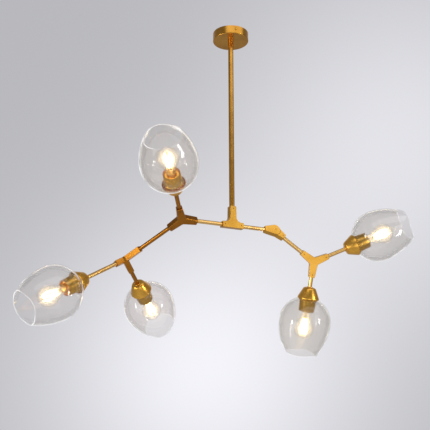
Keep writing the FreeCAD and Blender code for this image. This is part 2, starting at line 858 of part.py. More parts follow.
def build_socket(label, frame):
    outer = s.sleeve_neck / 2 - s.sleeve_wall - s.seat_gap
    top = s.tube_in_cap + s.seat_gap
    floor = base_bottom - s.seat_gap
    insert = turned(label + "_turned", [
        (s.wire_channel / 2, top), (outer, top), (outer, s.socket_end),
        (s.socket_bore / 2, s.socket_end), (s.socket_bore / 2, floor), (s.wire_channel / 2, floor),
    ])
    node(insert, label, frame)


def globe_run(radius, neck):
    # Where the slope of the bulb's neck touches its globe
    down = bulb_centre - s.bulb_collar - s.bulb_neck_length
    square = neck * neck + down * down
    run = leg(root(square), radius)
    out = (radius * radius * neck + radius * run * down) / square
    up = bulb_centre + (radius * run * neck - radius * radius * down) / square
    return out, up


def build_bulb_glass(label, frame):
    neck = s.bulb_neck / 2
    inner_neck = neck - s.bulb_wall
    inner_radius = bulb_radius - s.bulb_wall
    neck_top = s.bulb_collar + s.bulb_neck_length
    centre = (zero, bulb_centre)
    envelope = turned(label + "_turned", [
        (inner_neck, s.bulb_collar), (neck, s.bulb_collar), (neck, neck_top),
        globe_run(bulb_radius, neck),
        (zero, s.bulb_tip, *centre, bulb_radius, True),
        (zero, s.bulb_tip - s.bulb_wall),
        (*globe_run(inner_radius, inner_neck), *centre, inner_radius, False),
        (inner_neck, neck_top),
    ])
    node(envelope, label, frame)


def strut(name, radius, start, finish):
    # Round rod between two points, each given as (out from the axis, up)
    out = finish[0] - start[0]
    up = finish[1] - start[1]
    length = root(out * out + up * up)
    lean = math.degrees(math.atan2(float(out), float(up)))
    return rod(name, radius, length, shift(x=start[0], z=start[1]) * turn(along_y, lean))


def build_bulb_base(label, frame):
    body = turned(label + "_turned", [
        (zero, base_bottom), (s.contact_diameter / 2, base_bottom),
        (s.base_diameter / 2, base_bottom + s.contact_height),
        (s.base_diameter / 2, s.bulb_collar),
        (s.mount_diameter / 2, s.bulb_collar),
        (s.mount_diameter / 3, s.bulb_collar + s.mount_height),
        (zero, s.bulb_collar + s.mount_height),
    ])
    wire = s.wire_diameter / 2
    low = bulb_centre - s.filament_length / 2
    high = bulb_centre + s.filament_length / 2
    root_up = s.bulb_collar + s.mount_height - s.wire_rise
    crown = high + s.wire_rise
    pieces = [body, strut(label + "_post", wire, (zero, root_up), (zero, crown))]
    for number in range(filament_count):
        aim = turn(along_z, 360 / filament_count * number)
        runs = (
            ("stick", s.filament_diameter / 2, (s.filament_ring, low), (s.filament_ring, high)),
            ("foot", wire, (zero, root_up), (s.filament_ring, low)),
            ("crown", wire, (zero, crown), (s.filament_ring, high)),
        )
        for part, radius, start, finish in runs:
            piece = strut(f"{label}_{part}_{number}", radius, start, finish)
            piece.Placement = aim * piece.Placement
            pieces.append(piece)
    node(join(label + "_body", pieces), label, frame)


def build_lamp(number, reach, arm, hub_frame):
    name = f"lamp_{number}"
    frame = hub_frame * shift(x=reach) * z_to_x
    seat = arm - s.seat_depth + s.seat_gap - reach
    build_tube_run(name + "_tube", seat, s.tube_in_cap, frame)
    build_cap(name + "_cap", frame)
    build_socket(name + "_socket", frame)
    build_sleeve(name + "_sleeve", frame)
    build_glass(name + "_shade", frame)
    build_bulb_base(name + "_bulb_base", frame)
    build_bulb_glass(name + "_bulb_glass", frame)


def build_lamps():
    outer = s.leaning_hub_outer_arm
    build_lamp(1, s.lamp_1_reach, s.hub_arm, left_frame * to_branch_lamp)
    build_lamp(2, s.lamp_2_reach, outer, branch_frame * to_branch_lamp)
    build_lamp(3, s.lamp_3_reach, s.leaning_arm, branch_frame * to_leaning_arm)
    build_lamp(4, s.lamp_4_reach, s.hub_arm, right_frame * to_branch)
    build_lamp(5, s.lamp_5_reach, s.hub_arm, right_frame * to_branch_lamp)


build_bracket()
build_canopy()
build_side_screws()
build_terminal()
build_stem()
build_centre_hub()
build_flat_hub("left_hub", "left_y_hub", left_frame, 0)
build_leaning_hub(branch_frame)
build_flat_hub("right_hub", "right_y_hub", right_frame, 180)
build_branch_tubes()
build_knuckle()
build_lamps()
document.recompute()

for item in document.Objects:
    if "Invalid" in item.State or "Error" in item.State:
        raise RuntimeError(f"{item.Name} did not recompute: {item.State}")
for item in nodes:
    if item.Shape.isNull() or not item.Shape.isValid() or not item.Shape.Solids:
        raise RuntimeError(f"{item.Label} has no valid shape")

os.makedirs("parts", exist_ok=True)
for item in nodes:
    item.Shape.exportStep(f"parts/{item.Label}.step")
print(f"{len(nodes)} nodes, {sum(len(item.Shape.Solids) for item in nodes)} solids")
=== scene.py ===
import math
import bpy
from mathutils import Matrix, Vector


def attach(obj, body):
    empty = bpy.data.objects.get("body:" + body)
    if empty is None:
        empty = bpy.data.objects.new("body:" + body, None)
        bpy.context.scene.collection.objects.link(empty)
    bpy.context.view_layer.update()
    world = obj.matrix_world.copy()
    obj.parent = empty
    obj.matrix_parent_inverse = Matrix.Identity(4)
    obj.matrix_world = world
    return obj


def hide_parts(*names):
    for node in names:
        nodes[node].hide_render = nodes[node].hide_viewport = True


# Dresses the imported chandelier. Metres, +Z up, ceiling at height 0, photographed side towards -Y.
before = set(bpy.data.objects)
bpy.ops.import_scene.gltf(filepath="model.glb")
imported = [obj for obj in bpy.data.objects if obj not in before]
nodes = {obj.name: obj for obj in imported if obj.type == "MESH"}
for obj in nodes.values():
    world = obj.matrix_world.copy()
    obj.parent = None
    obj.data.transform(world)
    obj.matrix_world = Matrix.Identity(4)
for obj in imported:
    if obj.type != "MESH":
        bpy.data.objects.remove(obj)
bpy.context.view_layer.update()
bpy.ops.object.select_all(action="DESELECT")
lampBodies = {  # number of each lamp and the body that carries it
    1: "left_branch",
    2: "lower_left_branch",
    3: "lower_left_branch",
    4: "right_branch",
    5: "right_branch",
}


# One wrapped socket, so that shader maths reads as plain expressions.
class Tone:
    def __init__(self, finish, socket):
        self.finish = finish
        self.socket = socket

    def sibling(self, name):  # another output of the same node
        return Tone(self.finish, self.socket.node.outputs[name])

    def join(self, operation, first, second):
        return self.finish.add("Math", {"operation": operation}, {0: first, 1: second})

    def __add__(self, other):
        return self.join("ADD", self, other)

    def __radd__(self, other):
        return self.join("ADD", other, self)

    def __sub__(self, other):
        return self.join("SUBTRACT", self, other)

    def __rsub__(self, other):
        return self.join("SUBTRACT", other, self)

    def __mul__(self, other):
        return self.join("MULTIPLY", self, other)

    def __rmul__(self, other):
        return self.join("MULTIPLY", other, self)


# A node tree that is filled one node at a time.
class Finish:
    def __init__(self, owner):
        owner.use_nodes = True
        self.owner = owner
        self.tree = owner.node_tree
        self.tree.nodes.clear()

    def add(self, kind, settings=None, sockets=None, output=0):
        made = self.tree.nodes.new("ShaderNode" + kind)
        for name, value in (settings or {}).items():
            if name == "stops":
                self.setStops(made.color_ramp, value)
            else:
                setattr(made, name, value)
        for name, value in (sockets or {}).items():
            if isinstance(value, Tone):
                self.tree.links.new(value.socket, made.inputs[name])
            else:
                made.inputs[name].default_value = value
        return Tone(self, made.outputs[output])

    def setStops(self, ramp, stops):
        while len(ramp.elements) < len(stops):
            ramp.elements.new(1)
        for element, (place, colour) in zip(ramp.elements, stops):
            element.position = place
            element.color = (*colour, 1)

    def show(self, shader, kind="OutputMaterial"):
        made = self.tree.nodes.new("ShaderNode" + kind)
        self.tree.links.new(shader.socket, made.inputs["Surface"])
        return self.owner


def newFinish(name):
    return Finish(bpy.data.materials.new(name))


noiseMiddle = 0.5  # every noise wavers round this value


def noise(place, scale, detail, roughness=0.5):
    sockets = {"Vector": place, "Scale": scale, "Detail": detail, "Roughness": roughness}
    return place.finish.add("TexNoise", {}, sockets)


def softStep(value, start, end):
    sockets = {"Value": value, "From Min": start, "From Max": end}
    return value.finish.add("MapRange", {"interpolation_type": "SMOOTHSTEP"}, sockets)


def dotProduct(value, direction):
    settings = {"operation": "DOT_PRODUCT"}
    return value.finish.add("VectorMath", settings, {0: value, 1: direction}, output="Value")


def cover(below, above, share):
    return share.finish.add("MixShader", {}, {"Fac": share, 1: below, 2: above})


def darker(colour, share):
    return tuple(part * share for part in colour)


def twoTone(value, deep, light, look):
    # Turns from deep to light as the value rises along the stretch that the look gives.
    stops = [(look["deepEnd"], deep), (look["lightStart"], light)]
    return value.finish.add("ValToRGB", {"stops": stops}, {"Fac": value})


brassLook = {
    "light": (0.76, 0.405, 0.066),
    "deep": (0.60, 0.295, 0.038),
    "deepEnd": 0.3,     # stretch of the clouds over which deep turns into light
    "lightStart": 0.62,
    "roughness": 0.27,
    "roughnessSpread": 0.05,
    "cloud": 22,        # tarnish clouds per metre
    "cloudDetail": 4,
    "cloudRoughness": 0.6,
    "grain": 900,       # grains of the satin finish per metre
    "grainDetail": 2,
    "grainHeight": 0.000003,
    "grainStrength": 0.6,
}
# Lit and shaded copies of one brass: the darker tones are painted shade, the lighter cap and sleeve
# tones painted light, partly also the caps' own more orange colour, and the paler tube tone a painted
# highlight, with its lower roughness real.
brassTones = {
    "satinBrass": {},
    "capBrassPaintedLight": {"light": (0.92, 0.50, 0.085), "deep": (0.76, 0.38, 0.052)},
    "brassPaintedShade": {"light": (0.64, 0.32, 0.052), "deep": (0.51, 0.235, 0.032)},
    "brownBrassPaintedShade": {"light": (0.58, 0.24, 0.028), "deep": (0.46, 0.175, 0.018)},
    "deepBrassPaintedShade": {"light": (0.45, 0.175, 0.02), "deep": (0.36, 0.13, 0.013)},
    "tubeBrassPaintedHighlight": {"light": (0.92, 0.58, 0.20), "deep": (0.82, 0.46, 0.13), "roughness": 0.15},
    "sleeveBrassPaintedLight": {"light": (0.72, 0.42, 0.075), "deep": (0.60, 0.33, 0.05)},
}


def makeBrass(name, look):
    finish = newFinish(name)
    place = finish.add("TexCoord", output="Object")
    cloud = noise(place, look["cloud"], look["cloudDetail"], look["cloudRoughness"])
    grain = noise(place, look["grain"], look["grainDetail"])
    colour = twoTone(cloud, look["deep"], look["light"], look)
    spread = look["roughnessSpread"]
    rough = look["roughness"] + spread * (grain - noiseMiddle) + spread * (cloud - noiseMiddle)
    bump = finish.add("Bump", {}, {
        "Height": grain, "Distance": look["grainHeight"], "Strength": look["grainStrength"],
    })
    return finish.show(finish.add("BsdfPrincipled", {}, {
        "Base Color": colour, "Metallic": 1.0, "Roughness": rough, "Normal": bump,
    }))


glassLook = {
    "tint": (1.0, 0.988, 0.972, 1),
    "index": 1.2,
    "clear": 0.9,       # share that is seen straight through, unbent
    "ripple": 16,       # waves of the wall per metre
    "rippleDetail": 1,
    "rippleRoughness": 0.4,
    "rippleHeight": 0.0012,
    "rippleStrength": 0.5,
    "gloss": 1.6,       # index that sets how strongly the surface mirrors
    "mirrorRoughness": 0.06,
    "patch": 36,        # uneven stretches of the painted edge lines per metre
    "patchDetail": 0,
    "patchWeight": 2.2,
    "aimStart": 0.1,    # how squarely a face meets an aim before it takes part
    "aimEnd": 0.8,
    "rim": 0.75,        # strength of the painted highlight at the edge
    "paintedHighlightAim": (-0.45, -0.2, -0.87),
    "rimEven": 0.2,     # share of the painted highlight that runs all the way round the edge
    "rimStart": 0.62,
    "rimEnd": 0.9,
    "paintedHighlight": {
        "colour": (0.95, 0.95, 0.94, 1),
        "paintedLight": (1, 1, 0.98, 1),
        "strength": 0.5,
        "roughness": 0.4,
    },
    "paintedShadeLine": 0.5,        # strength of the thin painted shade line outside the painted highlight
    "paintedShadeAim": (0.85, -0.3, 0.42),
    "darkEven": 0.15,
    "darkStart": 0.86,
    "darkEnd": 0.97,
    "paintedShadeGrey": (0.3, 0.29, 0.28, 1),
    "paintedCore": 0.0,        # strength of the painted light in the middle of a lit bulb's glass
    "coreEnd": 0.75,
    "paintedWarmLight": {
        "colour": (1, 0.9, 0.7, 1),
        "paintedLight": (1, 0.86, 0.6, 1),
        "strength": 0.7,
        "roughness": 0.4,
    },
}
# Each shade is blown by hand; the darker tints of shades 4 and 5 are painted shade that dims the bright
# backdrop seen through them.
glassTintsPaintedShade = {
    1: (1.0, 0.985, 0.965, 1),
    2: (1.0, 0.99, 0.98, 1),
    3: (0.99, 0.975, 0.96, 1),
    4: (0.965, 0.952, 0.93, 1),
    5: (0.97, 0.96, 0.945, 1),
}
# The lip's finish has a stronger painted highlight and painted shade line, running most of the way
# round.
lipLook = {
    **glassLook, "rim": 0.9, "rimStart": -0.2, "rimEnd": 0.7, "paintedShadeLine": 0.8, "darkStart": 0.5,
}
# The bulb's glass carries painted light in its middle.
bulbLook = {
    **glassLook, "tint": (0.99, 0.985, 0.975, 1), "index": 1.12, "clear": 0.96,
    "rippleHeight": 0.0002, "gloss": 1.15, "rim": 0.2, "paintedShadeLine": 0.04, "paintedCore": 0.2,
}


def clearBody(finish, place, shadow, look):
    # Thin glass: most of it passes light unbent, and all of it lets light through to make shadows.
    ripple = noise(place, look["ripple"], look["rippleDetail"], look["rippleRoughness"])
    bump = finish.add("Bump", {}, {
        "Height": ripple, "Distance": look["rippleHeight"], "Strength": look["rippleStrength"],
    })
    bent = finish.add("BsdfPrincipled", {}, {
        "Base Color": look["tint"], "Roughness": 0.0, "IOR": look["index"],
        "Transmission Weight": 1.0, "Normal": bump,
    })
    straight = finish.add("BsdfTransparent", {}, {"Color": look["tint"]})
    return cover(bent, straight, shadow * (1 - look["clear"]) + look["clear"])


# A surface that shines by itself, used for painted light and painted highlight on the glass.
def paintedLightSurface(finish, look):
    return finish.add("BsdfPrincipled", {}, {
        "Base Color": look["colour"], "Roughness": look["roughness"],
        "Emission Color": look["paintedLight"], "Emission Strength": look["strength"],
    })


def makeGlass(name, look):
    finish = newFinish(name)
    place = finish.add("TexCoord", output="Object")
    shadow = finish.add("LightPath", output="Is Shadow Ray")
    normal = finish.add("NewGeometry", output="Normal")
    outside = (1 - normal.sibling("Backfacing")) * (1 - shadow)
    body = clearBody(finish, place, shadow, look)
    mirror = finish.add("BsdfGlossy", {}, {"Roughness": look["mirrorRoughness"]})
    body = cover(body, mirror, finish.add("Fresnel", {}, {"IOR": look["gloss"]}) * outside)

    # Painted light: the glass of a lit bulb shines in its middle, most where it faces the viewer, in
    # place of the filament's glare.
    facing = finish.add("LayerWeight", output="Facing")
    paintedWarmLight = paintedLightSurface(finish, look["paintedWarmLight"])
    paintedCore = softStep(facing, look["coreEnd"], 0.0)
    body = cover(body, paintedWarmLight, paintedCore * look["paintedCore"] * outside)

    # Painted highlight: a bright band at the edge of the glass, strongest where the face points along
    # the highlight aim, and uneven by noise.
    patches = look["patchWeight"] * (noise(place, look["patch"], look["patchDetail"]) - noiseMiddle)
    paintedHighlight = paintedLightSurface(finish, look["paintedHighlight"])
    lit = softStep(dotProduct(normal, look["paintedHighlightAim"]) + patches, look["aimStart"], look["aimEnd"])
    edge = softStep(facing, look["rimStart"], look["rimEnd"])
    rim = edge * (lit * (1 - look["rimEven"]) + look["rimEven"])
    body = cover(body, paintedHighlight, rim * look["rim"] * outside)

    # Painted shade: a thin line outside the painted highlight that dims the glass, strongest where the
    # face points along the shade aim.
    paintedShadeGrey = finish.add("BsdfTransparent", {}, {"Color": look["paintedShadeGrey"]})
    unlit = softStep(dotProduct(normal, look["paintedShadeAim"]) + patches, look["aimStart"], look["aimEnd"])
    edge = softStep(facing, look["darkStart"], look["darkEnd"])
    line = edge * (unlit * (1 - look["darkEven"]) + look["darkEven"])
    return finish.show(cover(body, paintedShadeGrey, line * look["paintedShadeLine"] * outside))


# The gold insert shines by itself: painted light from the bulb inside the sleeve.
plainLooks = {
    "insertGold": {"colour": (0.80, 0.47, 0.08), "roughness": 0.35, "grain": 700, "paintedLight": 0.6},
    "whitePlastic": {"colour": (0.82, 0.82, 0.80), "roughness": 0.45, "grain": 500, "paintedLight": 0.0},
}
plasticGrain = {
    "detail": 3,
    "shade": 0.9,       # share of the colour that is left where the grain is darkest
    "deepEnd": 0.3,
    "lightStart": 0.7,
    "height": 0.0001,
    "strength": 0.4,
}


def makePlastic(name, look):
    finish = newFinish(name)
    place = finish.add("TexCoord", output="Object")
    grain = noise(place, look["grain"], plasticGrain["detail"])
    deep = darker(look["colour"], plasticGrain["shade"])
    colour = twoTone(grain, deep, look["colour"], plasticGrain)
    bump = finish.add("Bump", {}, {
        "Height": grain, "Distance": plasticGrain["height"], "Strength": plasticGrain["strength"],
    })
    return finish.show(finish.add("BsdfPrincipled", {}, {
        "Base Color": colour, "Roughness": look["roughness"], "Normal": bump,
        # The emission is painted light.
        "Emission Color": (*look["colour"], 1), "Emission Strength": look["paintedLight"],
    }))


steelLooks = {
    "darkSteel": {"colour": (0.16, 0.10, 0.05), "roughness": 0.4},
    "zincSteel": {"colour": (0.62, 0.62, 0.60), "roughness": 0.35},
}
steelGrain = {
    "scale": 600,       # grains per metre
    "detail": 3,
    "shade": 0.8,
    "deepEnd": 0.3,
    "lightStart": 0.7,
    "spread": 0.1,      # of the roughness
}


def makeSteel(name, look):
    finish = newFinish(name)
    place = finish.add("TexCoord", output="Object")
    grain = noise(place, steelGrain["scale"], steelGrain["detail"])
    colour = twoTone(grain, darker(look["colour"], steelGrain["shade"]), look["colour"], steelGrain)
    return finish.show(finish.add("BsdfPrincipled", {}, {
        "Base Color": colour, "Metallic": 1.0,
        "Roughness": look["roughness"] + steelGrain["spread"] * (grain - noiseMiddle),
    }))


glowLook = {
    "colour": (1.0, 0.76, 0.36),
    "shade": 0.85,
    "deepEnd": 0.2,
    "lightStart": 0.8,
    "strength": 8,
    "unlit": (1, 0.9, 0.7, 1),
    "roughness": 0.5,
    "scale": 300,       # grains per metre
    "detail": 1,
}


def makeGlow(name, look):
    finish = newFinish(name)
    place = finish.add("TexCoord", output="Object")
    grain = noise(place, look["scale"], look["detail"])
    tone = twoTone(grain, darker(look["colour"], look["shade"]), look["colour"], look)
    return finish.show(finish.add("BsdfPrincipled", {}, {
        "Base Color": look["unlit"], "Roughness": look["roughness"],
        "Emission Color": tone, "Emission Strength": look["strength"],
    }))


brass = {name: makeBrass(name, {**brassLook, **tone}) for name, tone in brassTones.items()}
shadeGlass = {
    number: makeGlass(f"shadeGlass{number}", {**glassLook, "tint": tint})
    for number, tint in glassTintsPaintedShade.items()
}
lipGlass = makeGlass("lipGlass", lipLook)
bulbGlass = makeGlass("bulbGlass", bulbLook)
plastic = {name: makePlastic(name, look) for name, look in plainLooks.items()}
steel = {name: makeSteel(name, look) for name, look in steelLooks.items()}
filamentGlow = makeGlow("filamentGlow", glowLook)
print("finishes ready")

sameHeight = 0.00001  # heights that differ by less belong to one ring


def selectOnly(piece):
    bpy.ops.object.select_all(action="DESELECT")
    bpy.context.view_layer.objects.active = piece
    piece.select_set(True)


# Hand modelling: rings are drawn out from a circle, one extrude and one resize at a time.
def turnPiece(name, rings, steps):
    bpy.ops.object.select_all(action="DESELECT")
    radius, height = rings[0]
    place = (0, 0, height)
    bpy.ops.mesh.primitive_circle_add(vertices=steps, radius=radius, fill_type="NOTHING", location=place)
    piece = bpy.context.object
    bpy.ops.object.transform_apply(location=True, rotation=True, scale=True)
    bpy.ops.object.mode_set(mode="EDIT")
    bpy.ops.mesh.select_all(action="SELECT")
    for wide, high in rings[1:]:
        bpy.ops.mesh.extrude_region()
        bpy.ops.transform.translate(value=(0, 0, high - height))
        factor = wide / radius
        bpy.ops.transform.resize(value=(factor, factor, 1), center_override=(0, 0, high))
        radius, height = wide, high
    bpy.ops.object.mode_set(mode="OBJECT")
    piece.name = name
    return piece


def pointOutwards():
    bpy.ops.mesh.select_all(action="SELECT")
    bpy.ops.mesh.normals_make_consistent(inside=False)


def closeProfile():
    # Joins the last ring of the active piece to its first, which makes a turned wall closed.
    bpy.ops.object.mode_set(mode="EDIT")
    bpy.ops.mesh.select_mode(type="EDGE")
    bpy.ops.mesh.select_all(action="DESELECT")
    bpy.ops.mesh.select_non_manifold()
    bpy.ops.mesh.bridge_edge_loops()
    pointOutwards()
    bpy.ops.object.mode_set(mode="OBJECT")


def closeTop(piece):
    # Draws the highest ring together to a point.
    top = max(vertex.co.z for vertex in piece.data.vertices)
    bpy.ops.object.mode_set(mode="EDIT")
    bpy.ops.mesh.select_mode(type="VERT")
    bpy.ops.mesh.select_all(action="DESELECT")
    bpy.ops.object.mode_set(mode="OBJECT")
    for vertex in piece.data.vertices:
        vertex.select = abs(vertex.co.z - top) < sameHeight
    bpy.ops.object.mode_set(mode="EDIT")
    bpy.ops.mesh.merge(type="CENTER")
    pointOutwards()
    bpy.ops.object.mode_set(mode="OBJECT")


def closeEnds():
    # Draws both open rings of the active piece together to one point in its middle.
    bpy.ops.object.mode_set(mode="EDIT")
    bpy.ops.mesh.select_mode(type="VERT")
    bpy.ops.mesh.select_all(action="DESELECT")
    bpy.ops.mesh.select_non_manifold()
    bpy.ops.mesh.merge(type="CENTER")
    pointOutwards()
    bpy.ops.object.mode_set(mode="OBJECT")


def applyModifier(piece, kind, **settings):
    selectOnly(piece)
    made = piece.modifiers.new(kind.lower(), kind)
    for name, value in settings.items():
        setattr(made, name, value)
    bpy.ops.object.modifier_apply(modifier=made.name)


def roundEdges(piece, sizes):
    # Bevels the edges that turn by more than the crease, in degrees.
    applyModifier(
        piece, "BEVEL", width=sizes["edge"], segments=sizes["edgeSteps"],
        limit_method="ANGLE", angle_limit=math.radians(sizes["crease"]),
    )


def smooth(piece, angle):
    selectOnly(piece)
    bpy.ops.object.shade_smooth_by_angle(angle=math.radians(angle))


def arc(centre, radius, start, end, count):
    # Points on a round stretch, angles in radians from the outward direction.
    points = []
    for step in range(count + 1):
        angle = start + (end - start) * step / count
        points.append((centre[0] + radius * math.cos(angle), centre[1] + radius * math.sin(angle)))
    return points


# Lamps: each frame is read from the CAD pieces, with Z from the cap's top to the mouth.
endZone = 0.0005  # depth of the slice of a tube that counts as its end


def nodePoints(name):
    return {tuple(round(part, 6) for part in vertex.co) for vertex in nodes[name].data.vertices}


def centreOf(points):
    total = Vector((0, 0, 0))
    for point in points:
        total += Vector(point)
    return total / len(points)


def lampFrame(number):
    tube = nodePoints(f"lamp_{number}_tube")
    cap = nodePoints(f"lamp_{number}_cap")
    axis = (centreOf(cap) - centreOf(tube)).normalized()
    along = sorted((Vector(point).dot(axis), point) for point in tube)
    near = centreOf([point for reach, point in along if reach - along[0][0] < endZone])
    far = centreOf([point for reach, point in along if along[-1][0] - reach < endZone])
    axis = (far - near).normalized()
    top = min(Vector(point).dot(axis) for point in cap)
    origin = near + axis * (top - near.dot(axis))
    side = axis.cross(Vector((0, 0, 1))).normalized()
    rows = Matrix((side, axis.cross(side), axis)).transposed()
    return Matrix.Translation(origin) @ rows.to_4x4()


lampFrames = {number: lampFrame(number) for number in lampBodies}


def fitToLamp(pattern, number, name, replaced):
    # A copy of a piece that was modelled upright, set on one lamp with its place in its mesh.
    selectOnly(pattern)
    bpy.ops.object.duplicate(linked=False)
    copied = bpy.context.object
    copied.name = f"lamp{number}{name}"
    copied.matrix_world = lampFrames[number]
    bpy.ops.object.transform_apply(location=True, rotation=True, scale=True)
    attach(copied, lampBodies[number])
    for node in replaced:
        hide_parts(f"lamp_{number}_{node}")


def discard(piece):
    bpy.data.objects.remove(piece)


cap = {
    "flat": 0.011,      # radius of the flat top
    "shoulder": 0.010,  # radius of the round between the top and the flank
    "shoulderSteps": 8,
    "rim": 0.0322,
    "height": 0.0347,
    "lip": 0.0035,
    "wall": 0.0012,
    "collar": 0.0088,
    "collarHeight": 0.0014,
    "tubeHole": 0.00605,
    "edge": 0.0005,
    "edgeSteps": 3,
    "crease": 28,
    "smooth": 35,
    "steps": 72,
}


def bellLine(drop):
    # Outline of the bell from its flat top to the lip, set inwards by the drop.
    flat, soft = cap["flat"], cap["shoulder"]
    out = cap["rim"] - flat
    up = cap["height"] - cap["lip"] - soft
    lean = math.atan2(up, out) - math.acos(soft / math.hypot(out, up))
    return arc((flat, soft), soft - drop, math.radians(-90), lean, cap["shoulderSteps"]), lean


def makeCap():
    lipStart = cap["height"] - cap["lip"]
    inside = cap["rim"] - cap["wall"]
    outer, lean = bellLine(0)
    inner, lean = bellLine(cap["wall"])
    touch = inner[-1]
    innerLip = touch[1] - (inside - touch[0]) / math.tan(lean)
    rings = [
        (cap["tubeHole"], -cap["collarHeight"]),
        (cap["collar"], -cap["collarHeight"]),
        (cap["collar"], 0),
        *outer,
        (cap["rim"], lipStart),
        (cap["rim"], cap["height"]),
        (inside, cap["height"]),
        (inside, innerLip),
        *reversed(inner),
        (cap["tubeHole"], cap["wall"]),
    ]
    piece = turnPiece("capPattern", rings, cap["steps"])
    closeProfile()
    roundEdges(piece, cap)
    smooth(piece, cap["smooth"])
    return piece


sleeve = {
    "flange": 0.028,
    "flangeLow": 0.03668,
    "flangeHigh": 0.03918,
    "root": 0.025,
    "mouth": 0.0232,
    "end": 0.073,
    "wall": 0.0016,
    "neck": 0.021,
    "neckTop": 0.020,
    "grooves": 5,
    "grooveStart": 0.0015,
    "groovePitch": 0.0042,
    "grooveDepth": 0.0007,
    "grooveLine": ((0, 0), (0.0008, 1), (0.0018, 1), (0.0026, 0)),  # way along, share of the depth
    "edge": 0.0004,
    "edgeSteps": 2,
    "crease": 40,
    "smooth": 35,
    "steps": 72,
}


def makeSleeve():
    mouthInside = sleeve["mouth"] - sleeve["wall"]
    rootInside = sleeve["root"] - sleeve["wall"]
    slope = (rootInside - mouthInside) / (sleeve["end"] - sleeve["flangeHigh"])
    rings = [
        (sleeve["neck"] - sleeve["wall"], sleeve["neckTop"]),
        (sleeve["neck"], sleeve["neckTop"]),
        (sleeve["neck"], sleeve["flangeLow"]),
        (sleeve["flange"], sleeve["flangeLow"]),
        (sleeve["flange"], sleeve["flangeHigh"]),
        (sleeve["root"] + sleeve["wall"], sleeve["flangeHigh"]),
        (sleeve["root"], sleeve["flangeHigh"] + sleeve["wall"]),
        (sleeve["mouth"], sleeve["end"]),
        (mouthInside, sleeve["end"]),
    ]
    for groove in range(sleeve["grooves"]):
        high = sleeve["end"] - sleeve["grooveStart"] - groove * sleeve["groovePitch"]
        for drop, depth in sleeve["grooveLine"]:
            height = high - drop
            inside = mouthInside + slope * (sleeve["end"] - height)
            rings.append((inside + depth * sleeve["grooveDepth"], height))
    rings.append((rootInside, sleeve["flangeHigh"]))
    rings.append((sleeve["neck"] - sleeve["wall"], sleeve["flangeHigh"]))
    piece = turnPiece("sleevePattern", rings, sleeve["steps"])
    closeProfile()
    roundEdges(piece, sleeve)
    smooth(piece, sleeve["smooth"])
    return piece


shade = {
    "radius": 0.078,    # of the round part about the lampholder
    "wall": 0.0024,
    "hole": 0.0215,
    "centre": 0.1066,
    "shoulder": 0.007,  # height above the centre at which the side starts
    "ballSteps": 16,
    "sideRadius": 0.215,
    "sideSteps": 14,
    "mouth": 0.049,
    "steps": 96,
    "lipBand": 0.0022,  # height of the fire-polished band at the lip, which carries the lip's painted highlight and painted shade line
    "dipZone": 0.009,   # depth of the lip that a dip takes hold of
    "dipWidth": 4,      # degrees to each side
    "dipReach": 0.040,  # distance at which a dip has faded out
    "edge": 0.001,
    "edgeSteps": 3,
    "crease": 50,
    "smooth": 180,
}
# Dips of each handmade lip, listed one by one: (bearing in degrees, depth, pull outwards).
lipDips = {
    1: [(20, 0.005, 0.001), (140, 0.003, -0.002), (250, 0.006, 0.001)],
    2: [(60, 0.004, 0.002), (180, 0.006, -0.001), (300, 0.003, 0.0)],
    3: [(10, 0.004, -0.001), (120, 0.006, 0.001), (230, 0.003, 0.002)],
    4: [(80, 0.004, 0.001), (200, 0.003, -0.002), (320, 0.005, 0.0)],
    5: [(30, 0.005, -0.001), (150, 0.003, 0.001), (280, 0.006, 0.0)],
}


def shadeRings():
    radius, sideRadius = shade["radius"], shade["sideRadius"]
    lean = math.asin(shade["shoulder"] / radius)
    low = -math.acos(shade["hole"] / radius)
    ball = arc((0, shade["centre"]), radius, low, lean, shade["ballSteps"])
    out = (radius - sideRadius) * math.cos(lean)
    up = shade["centre"] + (radius - sideRadius) * math.sin(lean)
    mouth = math.acos((shade["mouth"] - out) / sideRadius)
    band = mouth - shade["lipBand"] / sideRadius
    side = arc((out, up), sideRadius, lean, band, shade["sideSteps"])[1:]
    return ball + side + arc((out, up), sideRadius, band, mouth, 1)[1:]


def pressDip(piece, top, bearing, depth, pull):
    # Takes hold of a short stretch of the lip and draws it down, and the glass round it follows.
    aim = Vector((math.cos(math.radians(bearing)), math.sin(math.radians(bearing)), 0))
    narrow = math.cos(math.radians(shade["dipWidth"]))
    bpy.ops.mesh.select_all(action="DESELECT")
    bpy.ops.object.mode_set(mode="OBJECT")
    for vertex in piece.data.vertices:
        flat = Vector((vertex.co.x, vertex.co.y, 0)).normalized()
        vertex.select = vertex.co.z > top - shade["dipZone"] and flat.dot(aim) > narrow
    bpy.ops.object.mode_set(mode="EDIT")
    bpy.ops.transform.translate(
        value=(aim.x * pull, aim.y * pull, -depth), use_proportional_edit=True,
        proportional_edit_falloff="SMOOTH", proportional_size=shade["dipReach"],
    )


def coatShade(piece, number, row):
    # The last row of faces is the lip, which has a finish of its own, with a stronger painted highlight
    # and painted shade line.
    piece.data.materials.append(shadeGlass[number])
    piece.data.materials.append(lipGlass)
    first = row * shade["steps"]
    for face in piece.data.polygons:
        if min(face.vertices) >= first:
            face.material_index = 1


def makeShade(number):
    rings = shadeRings()
    piece = turnPiece(f"shadePattern{number}", rings, shade["steps"])
    top = rings[-1][1]
    bpy.ops.object.mode_set(mode="EDIT")
    pointOutwards()
    bpy.ops.mesh.select_mode(type="VERT")
    for bearing, depth, pull in lipDips[number]:
        pressDip(piece, top, bearing, depth, pull)
    bpy.ops.object.mode_set(mode="OBJECT")
    coatShade(piece, number, len(rings) - 2)
    applyModifier(
        piece, "SOLIDIFY", thickness=shade["wall"], offset=-1, use_even_offset=True,
        material_offset_rim=1,
    )
    roundEdges(piece, shade)
    smooth(piece, shade["smooth"])
    return piece


